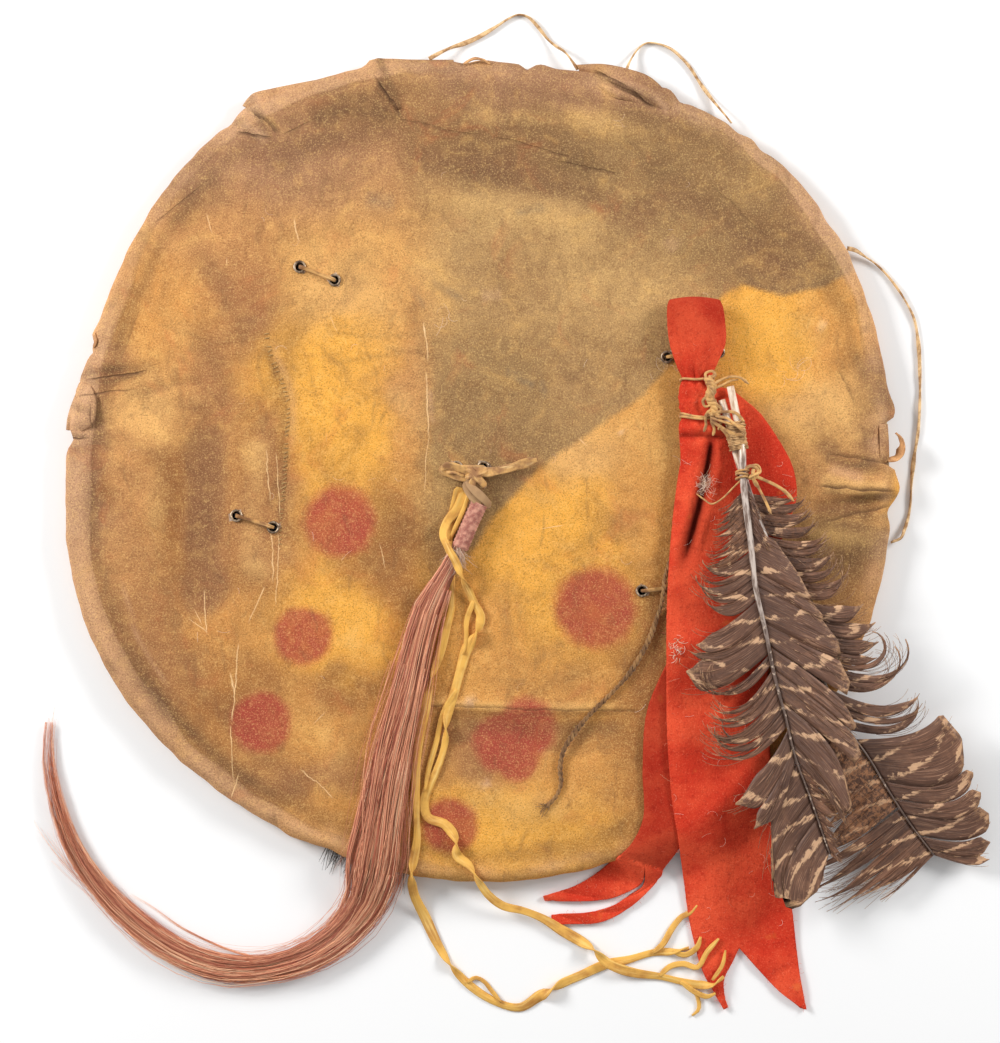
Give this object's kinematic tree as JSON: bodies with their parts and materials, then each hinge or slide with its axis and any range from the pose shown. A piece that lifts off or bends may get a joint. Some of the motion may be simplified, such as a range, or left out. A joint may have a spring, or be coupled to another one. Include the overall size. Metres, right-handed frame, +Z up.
{
  "type": "hide shield",
  "caption": "Round rawhide shield in a soft painted skin cover, lying face up, with tied-on horsehair lock, long thongs, folded red cloth and large feathers.",
  "frame": {"origin": "middle of the underside's bounding box, on the surface that the shield lies on, measured without the free cords", "axes": "+Z up out of the painted face, +Y towards the top of the painted face, +X to the right as the face is seen"},
  "size_m": [0.5582, 0.6032, 0.0374],
  "materials": {
    "painted_buckskin": "matt tanned skin, rubbed with yellow, olive and red earth paint",
    "rawhide": "hard, translucent-edged, uneven",
    "thong_hide": "narrow cut strips, worn smooth",
    "yellow_buckskin": "soft flat strips, rubbed with yellow ochre",
    "aged_brass": "dulled and greenish brown",
    "dyed_horsehair": "long straight hair, dyed red and faded to pink",
    "pink_thread": "tight thread windings",
    "red_wool": "felted trade wool with a short nap",
    "feather": "dark brown vane with pale buff bars, satin",
    "twisted_fibre": "two strands twisted, dark with handling"
  },
  "bodies": {
    "root": {"painted_cover": "painted_buckskin", "hide_disc": "rawhide", "gathering_string": "thong_hide", "eyelet_upper_left_1": "aged_brass", "eyelet_upper_left_2": "aged_brass", "lace_upper_left": "thong_hide", "eyelet_lower_left_1": "aged_brass", "eyelet_lower_left_2": "aged_brass", "lace_lower_left": "thong_hide", "eyelet_centre_1": "aged_brass", "eyelet_centre_2": "aged_brass", "eyelet_upper_right_1": "aged_brass", "eyelet_upper_right_2": "aged_brass", "lace_upper_right": "thong_hide", "eyelet_lower_right_1": "aged_brass", "eyelet_lower_right_2": "aged_brass", "lace_lower_right": "thong_hide", "centre_tie": "thong_hide", "hair_lock": "dyed_horsehair", "hair_binding": "pink_thread", "long_thong_left": "yellow_buckskin", "long_thong_right": "yellow_buckskin", "red_cloth": "red_wool", "neck_tie": "thong_hide", "long_feather": "feather", "short_feather": "feather", "quill_binding": "thong_hide", "quill_knot": "thong_hide", "twisted_cord": "twisted_fibre", "rim_thong_top": "thong_hide", "rim_thong_upper_right": "thong_hide", "rim_thong_right": "thong_hide"}
  },
  "joints": []
}
